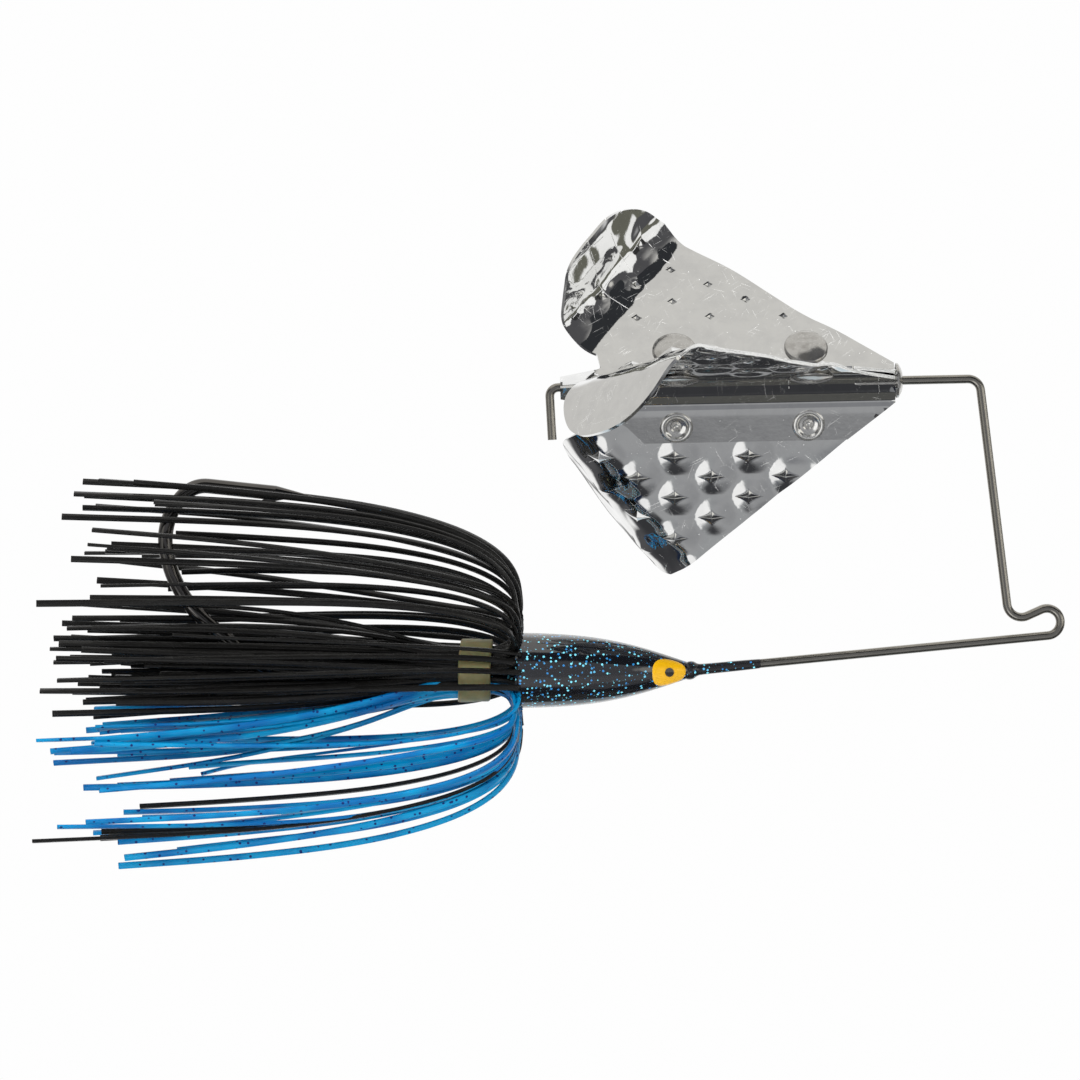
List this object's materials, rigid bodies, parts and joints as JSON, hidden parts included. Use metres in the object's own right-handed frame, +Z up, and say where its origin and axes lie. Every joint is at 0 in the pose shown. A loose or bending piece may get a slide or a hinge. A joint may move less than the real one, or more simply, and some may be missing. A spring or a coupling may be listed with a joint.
{
  "type": "fishing lure",
  "caption": "Surface fishing lure: lead head with skirt and hook, and a bent wire arm whose axle carries a freely spinning winged sheet-metal propeller.",
  "frame": {"origin": "centre of the line tie, where the fishing line is tied to the wire", "axes": "+X forward past the nose, +Z up on the side of the propeller, +Y to the lure's left"},
  "size_m": [0.1229, 0.0454, 0.0768],
  "materials": {
    "head_paint": "gloss black paint with blue glitter",
    "eye_paint": "gloss yellow paint",
    "pupil_paint": "gloss black paint",
    "hook_steel": "black nickel plate",
    "wire_steel": "drawn stainless wire",
    "collar_rubber": "translucent olive rubber",
    "black_silicone": "smooth silicone with rare flecks",
    "blue_silicone": "translucent silicone with dark flecks",
    "rivet_metal": "bright pressed metal",
    "blade_chrome": "polished sheet with punched dimples"
  },
  "bodies": {
    "root": {"head": "head_paint", "eye_left": "eye_paint", "eye_right": "eye_paint", "pupil_left": "pupil_paint", "pupil_right": "pupil_paint", "hook": "hook_steel", "wire_form": "wire_steel", "skirt_collar": "collar_rubber", "skirt_black_outer": "black_silicone", "skirt_black_inner": "black_silicone", "skirt_blue_outer": "blue_silicone", "skirt_blue_inner": "blue_silicone"},
    "bearing": {"bearing_rivet": "rivet_metal"},
    "propeller": {"blade_sheet_1": "blade_chrome", "blade_sheet_2": "blade_chrome", "blade_sheet_3": "blade_chrome", "wing_rivet_1_front": "rivet_metal", "wing_rivet_1_rear": "rivet_metal", "wing_rivet_2_front": "rivet_metal", "wing_rivet_2_rear": "rivet_metal", "wing_rivet_3_front": "rivet_metal", "wing_rivet_3_rear": "rivet_metal"}
  },
  "joints": [
    {"name": "bearing_slide", "type": "slide", "parent": "root", "child": "bearing", "axis": [0.9998, 0, 0.0209], "range_m": [0, 0.0075]},
    {"name": "propeller_spin", "type": "hinge", "parent": "bearing", "child": "propeller", "pos_m": [-0.01784, 0, 0.02841], "axis": [0.9998, 0, 0.0209], "continuous": true}
  ]
}
